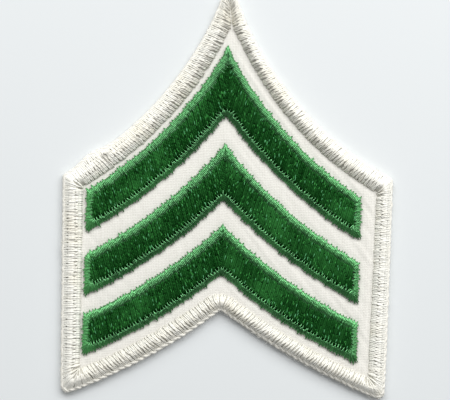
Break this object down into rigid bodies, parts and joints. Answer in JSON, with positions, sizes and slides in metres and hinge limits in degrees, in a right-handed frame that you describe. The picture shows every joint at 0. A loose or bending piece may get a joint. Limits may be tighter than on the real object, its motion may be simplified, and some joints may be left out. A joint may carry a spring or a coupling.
{
  "type": "rank chevron patch",
  "caption": "Flat embroidered sleeve patch with a pointed top and a notched foot, a raised stitched border and stacked chevrons with raised edgings, on woven ground cloth.",
  "frame": {"origin": "on the surface that the patch lies on, below the middle of its width and height", "axes": "+Z out of the stitched face, +Y towards the point, +X to the right of the patch as it is read"},
  "size_m": [0.0762, 0.0924, 0.0026],
  "materials": {
    "ground_cloth": "plain weave",
    "border_thread": "satin stitch",
    "edging_thread": "satin stitch",
    "fill_thread": "long stitch"
  },
  "bodies": {
    "root": {"ground_cloth": "ground_cloth", "border": "border_thread", "upper_chevron_edging": "edging_thread", "upper_chevron_fill": "fill_thread", "middle_chevron_edging": "edging_thread", "middle_chevron_fill": "fill_thread", "lower_chevron_edging": "edging_thread", "lower_chevron_fill": "fill_thread"}
  },
  "joints": []
}
